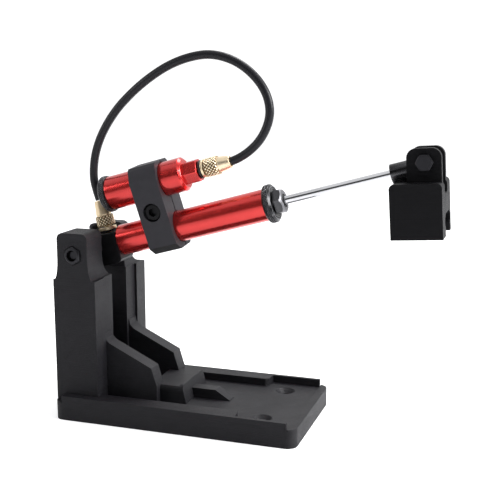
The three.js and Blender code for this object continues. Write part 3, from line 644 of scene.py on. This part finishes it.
line = [ARM @ Vector(tuple(p)) for p in smooth_line(knots)]
curve = bpy.data.curves.new("oil_hose", "CURVE")
curve.dimensions = "3D"
curve.bevel_depth = HOSE_R * MM
curve.bevel_resolution = 8
curve.use_fill_caps = True
spline = curve.splines.new("POLY")
spline.points.add(len(line) - 1)
for p, q in zip(spline.points, line):
    p.co = (*q, 1.0)
spline.use_smooth = True
curve.materials.append(HOSE)
hose = bpy.data.objects.new("oil_hose", curve)
bpy.context.scene.collection.objects.link(hose)
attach(hose, BODY["hose"])
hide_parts("hose")

# ------------------------------------------------------------------ printed stand
stand = bpy.data.objects.new("stand_print", nodes["printed_base"].data.copy())
bpy.context.scene.collection.objects.link(stand)
ease(stand, 0.45, 3, 25.0)
finish_piece(stand, STAND_PRINT, "printed_base", sharp=None)

# pivot bolt and nut, points up and down in their pockets
threads = []
a = -28.4
while a < -18.2:
    threads += [(a, 2.15), (a + 0.4, 2.45)]
    a += 0.8
bolt = together(
    lathe([(-28.4, 0)] + soft([(-28.4, 0), (-28.4, 2.0), (-28.0, 2.2)])[1:-1] + threads[2:] + [(-18.0, 2.45), (18.5, 2.45), (18.5, 0)], "y", 48),
    hexbar(8, 18.3, 21.8, math.pi / 2, "y", c0=False),
)
finish_piece(raw("pivot_bolt_steel", bolt, HEAD), STEEL, "pivot_bolt")
nut = hexbar(8, -30.2, -26.2, math.pi / 2, "y", bore=2.75, face=0.84, slope=0.7)
finish_piece(raw("pivot_nut_steel", nut, HEAD), STEEL, "pivot_nut")

# ------------------------------------------------------------------ rear cap and its fitting
lug = raw(
    "rear_cap_lug",
    prism(arc(0, 0, 10.5, 125, 270, 48) + [(10.9, -10.5), (12.7, -9.9), (13.6, -9.0), (13.6, 5.5), (2.45, 5.5), (2.45, 8.6)], -7.3, 7.3, "y"),
    ARM,
)
carve(
    lug,
    ("DIFFERENCE", raw("bore", lathe([(-12, 0), (-12, 2.75), (12, 2.75), (12, 0)], "y", 48), ARM)),
    ("DIFFERENCE", raw("bleed_hole", moved(lathe([(5, 0), (5, 1.8), (12, 1.8), (12, 0)], "z", 48), -0.35, 0, 0), ARM)),
)
ease(lug, 0.4, 3, 30)
spigot = lathe(soft([(12.6, 0), (12.6, 5.7), (17.0, 5.7), (17.0, 4.4), (19.0, 4.4), (19.0, 5.7), (22.0, 5.7), (22.0, 0)]), "x", 64)
finish_piece(lug, LUG_BLACK, "rear_cap", sharp=None)
extra_piece(raw("rear_cap_spigot", spigot, ARM), BLACK_TUBE, BODY["rear_cap"])

bleed = raw(
    "bleed_screw_steel",
    moved(lathe(soft([(5.4, 0), (5.4, 1.5), (8.9, 1.5), (8.9, 2.6), (10.6, 2.6), (11.6, 1.9), (12.0, 1.1), (12.0, 0)], 0.25), "z", 64), -0.35, 0, 0),
    ARM,
)
carve(bleed, ("DIFFERENCE", raw("bleed_key", moved(hexbar(2, 10.7, 13, 0.3, "z", c0=False, c1=False, blunt=0.0, n=48), -0.35, 0, 0), ARM)))
finish_piece(bleed, STEEL, "bleed_screw", sharp=30)


def fitting_body(a):
    return lathe(
        soft([(a - 6.8, 0.9), (a - 6.8, 1.8), (a - 1.3, 1.8), (a - 1.3, 4.6), (a - 0.1, 4.6), (a - 0.1, 1.2), (a + 5.4, 1.2), (a + 5.4, 0.8), (a - 2, 0.8), (a - 6.8, 0.9)], 0.25),
        "x", 96,
    )


def hose_nut(name, nut, axis, matrix, material, grip, node):
    a, b, c = nut
    body = lathe(
        soft([(a + 0.3, 3.1), (a + 0.3, 3.8), (a + 0.7, 4.0), (b - 0.35, 4.0), (b - 0.05, 3.85), (b + 0.3, 3.95), (c - 0.2, 2.95), (c, 2.75), (c, 2.4), (c - 1.2, 2.4), (c - 1.2, 1.6), (a + 6.4, 1.6), (a + 6.4, 3.1), (a + 0.3, 3.1)], 0.12, 2),
        axis, 96,
    )
    band = knurl(4.7, a + 0.4, b - 0.2, 1.85, 0.65, axis, flat=2.2, sub=6)
    o = finish_piece(raw(name, body, matrix), material, node)
    k = extra_piece(raw(name + "_knurl", band, matrix), grip, BODY[node], flat=True)
    return o, k


hose_nut("front_nut_brass", FRONT_NUT, "x", RES, BRASS_FRONT, KNURL_FRONT, "front_hose_nut")
hose_nut("rear_nut_brass", REAR_NUT, "z", REAR, BRASS_REAR, KNURL_REAR, "rear_hose_nut")
finish_piece(raw("front_fitting_brass", fitting_body(FRONT_NUT[0]), RES), BRASS_FRONT, "front_fitting_body")
rear_body = lathe(soft([(1.9, 0.9), (1.9, 1.8), (6.9, 1.8), (6.9, 4.7), (8.5, 4.7), (8.5, 1.2), (14, 1.2), (14, 0.8), (6, 0.8), (1.9, 0.9)], 0.25), "z", 96)
finish_piece(raw("rear_fitting_brass", rear_body, REAR), BRASS_REAR, "rear_fitting_body")


def o_ring(name, a0, a1, r0, r1, axis, matrix, node):
    """A seal ring with its rounded rubber section."""
    ca, cr, ra, rr = (a0 + a1) / 2, (r0 + r1) / 2, (a1 - a0) / 2, (r1 - r0) / 2
    prof = [
        (ca + ra * abs(math.cos(t)) ** 0.7 * math.copysign(1, math.cos(t)), cr + rr * abs(math.sin(t)) ** 0.7 * math.copysign(1, math.sin(t)))
        for t in [2 * math.pi * k / 20 for k in range(20)]
    ]
    prof.append(prof[0])
    return finish_piece(raw(name, lathe(prof, axis, 96), matrix), RUBBER, node, sharp=60)


HEX_U1 = 65.9
o_ring("front_port_ring", HEX_U1 + 0.3, 67.4, 2.6, 4.5, "x", RES, "front_port_seal")
o_ring("rear_port_ring", 5.8, 6.6, 2.6, 3.9, "z", REAR, "rear_port_seal")

# ------------------------------------------------------------------ main cylinder
TUBE_R, TUBE_U0, TUBE_U1 = 7.85, 13.9, 94.2
tube = lathe(soft([(TUBE_U0, 6), (TUBE_U0, TUBE_R), (TUBE_U1, TUBE_R), (TUBE_U1, 6), (TUBE_U0, 6)], 0.35), "x", 192)
finish_piece(raw("main_tube_red", tube, ARM), RED_TUBE, "main_tube")

R, U1 = 9.5, 98.5
ring = lathe(
    soft([
        (83.4, 3.1), (83.4, 5.7), (86, 5.7), (86, 4.6), (88, 4.6), (88, 5.7), (94.5, 5.7), (94.5, R - 0.55), (95.0, R - 0.12),
        (95.15, R - 0.62), (97.45, R - 0.62), (97.6, R - 0.12), (U1, R - 1.25), (U1, 7.75), (U1 - 0.55, 7.65), (U1 - 0.55, 7.3),
        (U1, 7.2), (U1, 6.95), (U1 - 0.5, 6.85), (U1 - 0.5, 4.4), (94.5, 4.4), (94.5, 3.1), (83.4, 3.1),
    ], 0.12, 2),
    "x", 192,
)
ring_o = raw("front_ring_black", ring, ARM)
finish_piece(ring_o, [BLACK_TUBE, BARE_FACE], "front_cap")
# the chamfer and front face are turned bright through the anodising
M = np.array(ARM.inverted(), float)
for p in ring_o.data.polygons:
    c = M[:3, :3] @ np.array(p.center) + M[:3, 3]
    rr = math.hypot(c[1], c[2])
    p.material_index = 1 if (c[0] > U1 - 0.06 and rr > 6.9) else 0
extra_piece(raw("front_ring_knurl", knurl(R, 94.9, 97.7, 1.3, 0.55, "x", flat=1.9, sub=5), ARM), KNURL_RING, BODY["front_cap"], flat=True)

GLAND_AF, G0, G1 = 11.0, 98.8, 103.1
gland = together(
    hexbar(GLAND_AF, G0, G1, math.radians(-10), "x", bore=3.3, face=0.93, c0=False, n=120, slope=0.9),
    lathe(soft([(97.6, 2.5), (97.6, 4.1), (99.0, 4.1), (99.0, 3.3), (100.6, 3.3), (100.6, 2.5), (97.6, 2.5)], 0.1), "x", 96),
)
gland_o = raw("gland_nut_black", gland, ARM)
finish_piece(gland_o, [BLACK_TUBE, BARE_FACE], "gland_nut")
for p in gland_o.data.polygons:
    c = M[:3, :3] @ np.array(p.center) + M[:3, 3]
    n_ = M[:3, :3] @ np.array(p.normal)
    n_ /= np.linalg.norm(n_)
    if c[0] > 101.5 and n_[0] > 0.5:
        p.material_index = 1
o_ring("rod_wiper_rubber", 100.9, 103.0, 2.3, 3.0, "x", ARM, "rod_wiper")

rod_ = lathe(soft([(76, 0), (76, 2.1), (167.9, 2.1), (167.9, 0)], 0.4), "x", 96)
finish_piece(raw("piston_rod_chrome", rod_, ARM), CHROME, "piston_rod")

# rod end: a round sleeve and a flat-sided eye
EYE_U, EYE_V, EYE_R, EYE_Y = 173.2, 2.1, 5.6, 4.6
sleeve = raw("rod_end_black", lathe([(156.2, 0), (156.2, 4.65), (170, 4.65), (170, 0)], "x", 96), ARM)
carve(
    sleeve,
    ("UNION", raw("eye", moved(lathe([(-EYE_Y, 0), (-EYE_Y, EYE_R), (EYE_Y, EYE_R), (EYE_Y, 0)], "y", 96), EYE_U, 0, EYE_V), ARM)),
    ("DIFFERENCE", raw("pin_bore", moved(lathe([(-8, 0), (-8, 2.25), (8, 2.25), (8, 0)], "y", 48), EYE_U, 0, EYE_V), ARM)),
    ("DIFFERENCE", raw("rod_bore", lathe([(150, 0), (150, 2.4), (168.3, 2.4), (168.3, 0)], "x", 48), ARM)),
)
ease(sleeve, 0.35, 3, 34)
finish_piece(sleeve, BLACK_TUBE, "rod_end", sharp=None)

# ------------------------------------------------------------------ clamp
C0, C1, SCREW_U, SCREW_V = 31.9, 46.8, (31.9 + 46.8) / 2 - 0.3, 11.1


def clamp_half(name, s, node):
    pts = [(0.35, -10.2), (6.2, -10.2), (10.8, -6.5), (10.8, 27.2), (8.2, 33.2), (6.6, 34.4), (0.35, 34.4)]
    o = raw(name, prism([(s * a, b) for a, b in pts], C0, C1, "x"), TOP)
    cuts = [
        ("DIFFERENCE", raw("c1", lathe([(20, 0), (20, TUBE_R + 0.25), (60, TUBE_R + 0.25), (60, 0)], "x", 128), TOP)),
        ("DIFFERENCE", raw("c2", moved(lathe([(20, 0), (20, 8.75), (60, 8.75), (60, 0)], "x", 128), 0, 0, RES_V), TOP)),
    ]
    a0, a1 = (-13, 2) if s < 0 else (-2, 9.5)
    cuts.append(("DIFFERENCE", raw("c3", moved(lathe([(a0, 0), (a0, 2.75), (a1, 2.75), (a1, 0)], "y", 64), SCREW_U, 0, SCREW_V), TOP)))
    if s < 0:
        cuts.append(("DIFFERENCE", raw("c4", moved(lathe([(-13, 0), (-13, 4.6), (-5, 4.6), (-5, 0)], "y", 96), SCREW_U, 0, SCREW_V), TOP)))
    carve(o, *cuts)
    ease(o, 0.2, 2, 24)
    finish_piece(o, [CLAMP_BLACK, CLAMP_CHAMFER_SHADE], node, sharp=None)
    # faces turned down and out, the chamfer, get the darker copy: painted shade
    low = TOP.to_3x3() @ Vector((0, s * 0.63, -0.78))
    low.normalize()
    for p in o.data.polygons:
        p.material_index = 1 if p.normal.dot(low) > 0.8 else 0
    return o


clamp_half("clamp_near_black", -1, "clamp_near")
clamp_half("clamp_far_black", 1, "clamp_far")

screw = raw(
    "clamp_screw_steel",
    moved(lathe(soft([(-9.7, 0), (-9.7, 3.95), (-5.3, 3.95), (-5.3, 2.45), (9.2, 2.45), (9.2, 0)], 0.3), "y", 96), SCREW_U, 0, SCREW_V),
    TOP,
)
socket = raw("hex_key", moved(hexbar(4, -12, -7.3, 0.3, "y", c0=False, c1=False, blunt=0.0, n=48), SCREW_U, 0, SCREW_V), TOP)
carve(screw, ("DIFFERENCE", socket))
finish_piece(screw, SCREW_BLACK, "clamp_screw", sharp=30)
extra_piece(
    raw("clamp_screw_knurl", moved(knurl(4.25, -9.35, -5.6, 0.8, 0.34, "y"), SCREW_U, 0, SCREW_V), TOP),
    SCREW_BLACK, BODY["clamp_screw"], flat=True,
)

# ------------------------------------------------------------------ reservoir
RES_R, RES_U0, RES_U1, CAP_U0, CAP_R = 8.5, 16.2, 58.4, 12.3, 9.3
body = together(
    lathe(soft([(RES_U0, 6.5), (RES_U0, RES_R), (RES_U1 - 1.3, RES_R), (RES_U1, RES_R - 1.5), (RES_U1, 3), (RES_U1 - 5, 3), (RES_U1 - 5, 6.5), (RES_U0, 6.5)], 0.35), "x", 192),
    hexbar(10.6, RES_U1 - 0.4, HEX_U1, 0.0, "x", bore=2.1, c0=False, n=120, blunt=0.12),
)
finish_piece(raw("reservoir_body_red", body, RES), RED_RES, "reservoir_body")
cap = lathe(
    soft([(CAP_U0, 0), (CAP_U0, CAP_R - 0.95), (CAP_U0 + 0.6, CAP_R - 0.4), (CAP_U0 + 0.7, CAP_R - 0.6), (RES_U0 - 0.6, CAP_R - 0.6), (RES_U0 - 0.5, CAP_R - 0.4), (RES_U0 - 0.3, CAP_R - 0.6), (RES_U0 - 0.3, 6.2), (17.3, 6.2), (17.3, 5.0), (19.1, 5.0), (19.1, 6.2), (21.3, 6.2), (21.3, 0)], 0.12, 2),
    "x", 192,
)
finish_piece(raw("reservoir_cap_black", cap, RES), BLACK_RES, "reservoir_cap")
extra_piece(raw("reservoir_cap_knurl", knurl(CAP_R, CAP_U0 + 0.6, RES_U0 - 0.5, 1.2, 0.55, "x", flat=1.9, sub=5), RES), KNURL_CAP, BODY["reservoir_cap"], flat=True)

# ------------------------------------------------------------------ pedal bracket
BOX_X0, BOX_X1, BOX_Y, BOX_Z0, BOX_Z1 = -15.3, 8.1, 15.8, -33.9, -8.8
EAR_X0, EAR_X1, EAR_Y0, EAR_Y1, EAR_TOP = -8.2, 7.4, 5.0, 8.5, 6.4
r = 2.2
box_pts = [(BOX_X0, BOX_Z0), (BOX_X1, BOX_Z0)] + arc(BOX_X1 - r, BOX_Z1 - r, r, 0, 90, 10) + arc(BOX_X0 + r, BOX_Z1 - r, r, 90, 180, 10)
ear_pts = [(EAR_X0, BOX_Z1 - 3), (EAR_X1, BOX_Z1 - 3)] + arc(EAR_X1 - 4.4, EAR_TOP - 4.4, 4.4, 0, 90, 14) + arc(EAR_X0 + 4.2, EAR_TOP - 4.2, 4.2, 90, 180, 14)
z0 = BOX_Z0
channel = [(-4.6, z0 - 1), (12.0, z0 - 1), (12.0, z0 + 4.4), (13.6, z0 + 5.2), (13.6, z0 + 7.8), (10.6, z0 + 10.2), (-3.6, z0 + 10.2), (-6.6, z0 + 7.8), (-6.6, z0 + 5.2), (-4.6, z0 + 4.4)]
bracket = raw("pedal_bracket_print", prism(box_pts, -BOX_Y, BOX_Y, "y"), BRK)
carve(
    bracket,
    ("UNION", raw("e1", prism(ear_pts, -EAR_Y1, -EAR_Y0 + 0.5, "y"), BRK)),
    ("UNION", raw("e2", prism(ear_pts, EAR_Y0 - 0.5, EAR_Y1, "y"), BRK)),
    ("DIFFERENCE", raw("s1", block(-30, 30, -EAR_Y0, EAR_Y0, -14.5, 20), BRK)),
    ("DIFFERENCE", raw("s2", prism(channel, -30, 30, "x"), BRK)),
    ("DIFFERENCE", raw("s3", lathe([(-20, 0), (-20, 2.25), (20, 2.25), (20, 0)], "y", 64), BRK)),
)
ease(bracket, 0.5, 3, 26)
finish_piece(bracket, BRACKET_PRINT, "pedal_bracket", sharp=None)

threads = []
a = 8.9
while a < 12.9:
    threads += [(a, 1.95), (a + 0.35, 1.68)]
    a += 0.7
clevis = together(
    lathe([(-9.0, 0), (-9.0, 1.95), (8.4, 1.95)] + threads + [(13.0, 1.9), (13.4, 1.5), (13.4, 0)], "y", 48),
    hexbar(7, -11.6, -8.8, 0.0, "y", c1=False, face=0.95),
)
finish_piece(raw("clevis_bolt_steel", clevis, BRK), STEEL, "clevis_bolt")
finish_piece(raw("clevis_nut_steel", hexbar(7, 8.8, 12.0, 0.35, "y", bore=2.25), BRK), STEEL, "clevis_nut")

# ------------------------------------------------------------------ carried-over inner nodes
for node, material in {
    "rear_cap_seal": RUBBER,
    "front_cap_seal": RUBBER,
    "reservoir_cap_seal": RUBBER,
    "rod_bush": BRASS_BUSH,
    "rod_seal": RUBBER,
    "piston": POLY,
    "piston_seal": RUBBER,
    "free_piston": POLY,
    "free_piston_seal": RUBBER,
}.items():
    for s in nodes[node].material_slots:
        s.material = material

# ------------------------------------------------------------------ floor, light, world
me = bpy.data.meshes.new("floor")
me.from_pydata([(-6, -6, 0), (6, -6, 0), (6, 6, 0), (-6, 6, 0)], [], [(0, 1, 2, 3)])
floor = bpy.data.objects.new("floor", me)
bpy.context.scene.collection.objects.link(floor)
fm = Nodes("studio_floor")
grain = fm.noise(3.0, 2.0, 0.5)
fm.link(fm.mix(grain, (0.80, 0.80, 0.81), (0.83, 0.83, 0.84)), fm.bsdf.inputs["Base Color"])
fm.bsdf.inputs["Roughness"].default_value = 0.9
fm.bsdf.inputs["Specular IOR Level"].default_value = 0.1
fm.bsdf.inputs["Emission Color"].default_value = (1, 1, 1, 1)
seen = fm.new("ShaderNodeLightPath")
fm.link(fm.math("ADD", fm.math("MULTIPLY", seen.outputs["Is Camera Ray"], 0.40), 0.05), fm.bsdf.inputs["Emission Strength"])
me.materials.append(fm.mat)


def softbox(name, where, target, size, power, color=(1, 1, 1), size_y=None):
    d = bpy.data.lights.new(name, "AREA")
    d.energy = power
    d.color = color
    d.shape = "RECTANGLE"
    d.size = size
    d.size_y = size_y or size
    o = bpy.data.objects.new(name, d)
    bpy.context.scene.collection.objects.link(o)
    o.location = where
    o.rotation_mode = "QUATERNION"
    o.rotation_quaternion = (Vector(target) - Vector(where)).to_track_quat("-Z", "Y")
    return o


softbox("key", (0.95, 0.05, 0.55), (0, 0, 0.08), 0.5, 16.0)
softbox("overhead", (0.12, 0.45, 0.85), (0, 0, 0.04), 0.45, 4.6)
softbox("fill", (-1.1, -0.75, 0.55), (0, 0, 0.08), 0.5, 4.4)

world = bpy.data.worlds.new("studio")
bpy.context.scene.world = world
world.use_nodes = True
wt = world.node_tree
wt.nodes.clear()
out = wt.nodes.new("ShaderNodeOutputWorld")
bg = wt.nodes.new("ShaderNodeBackground")
white = wt.nodes.new("ShaderNodeBackground")
white.inputs["Color"].default_value = (1, 1, 1, 1)
white.inputs["Strength"].default_value = 1.15
coord = wt.nodes.new("ShaderNodeTexCoord")
split = wt.nodes.new("ShaderNodeSeparateXYZ")
wt.links.new(coord.outputs["Generated"], split.inputs[0])
ramp = wt.nodes.new("ShaderNodeValToRGB")
ramp.color_ramp.interpolation = "EASE"
els = ramp.color_ramp.elements
els[0].position, els[0].color = 0.0, (1.0, 1.0, 1.0, 1)
els[1].position, els[1].color = 1.0, (0.85, 0.86, 0.88, 1)
for pos, v in ((0.02, 0.08), (0.56, 0.11), (0.72, 0.98)):
    e = els.new(pos)
    e.color = (v, v, v * 1.01, 1)
wt.links.new(split.outputs["Z"], ramp.inputs["Fac"])
# towards +Y the horizon is the white backdrop
side = wt.nodes.new("ShaderNodeMapRange")
side.inputs["From Min"].default_value = -0.35
side.inputs["From Max"].default_value = 0.35
wt.links.new(split.outputs["Y"], side.inputs["Value"])
blendw = wt.nodes.new("ShaderNodeMix")
blendw.data_type = "RGBA"
wt.links.new(side.outputs["Result"], blendw.inputs["Factor"])
wt.links.new(ramp.outputs["Color"], blendw.inputs[6])
blendw.inputs[7].default_value = (1.0, 1.0, 1.0, 1.0)
wt.links.new(blendw.outputs[2], bg.inputs["Color"])
bg.inputs["Strength"].default_value = 0.9
path = wt.nodes.new("ShaderNodeLightPath")
mixw = wt.nodes.new("ShaderNodeMixShader")
wt.links.new(path.outputs["Is Camera Ray"], mixw.inputs[0])
wt.links.new(bg.outputs[0], mixw.inputs[1])
wt.links.new(white.outputs[0], mixw.inputs[2])
wt.links.new(mixw.outputs[0], out.inputs["Surface"])

bpy.context.scene.view_settings.view_transform = "Standard"
bpy.context.scene.view_settings.look = "None"
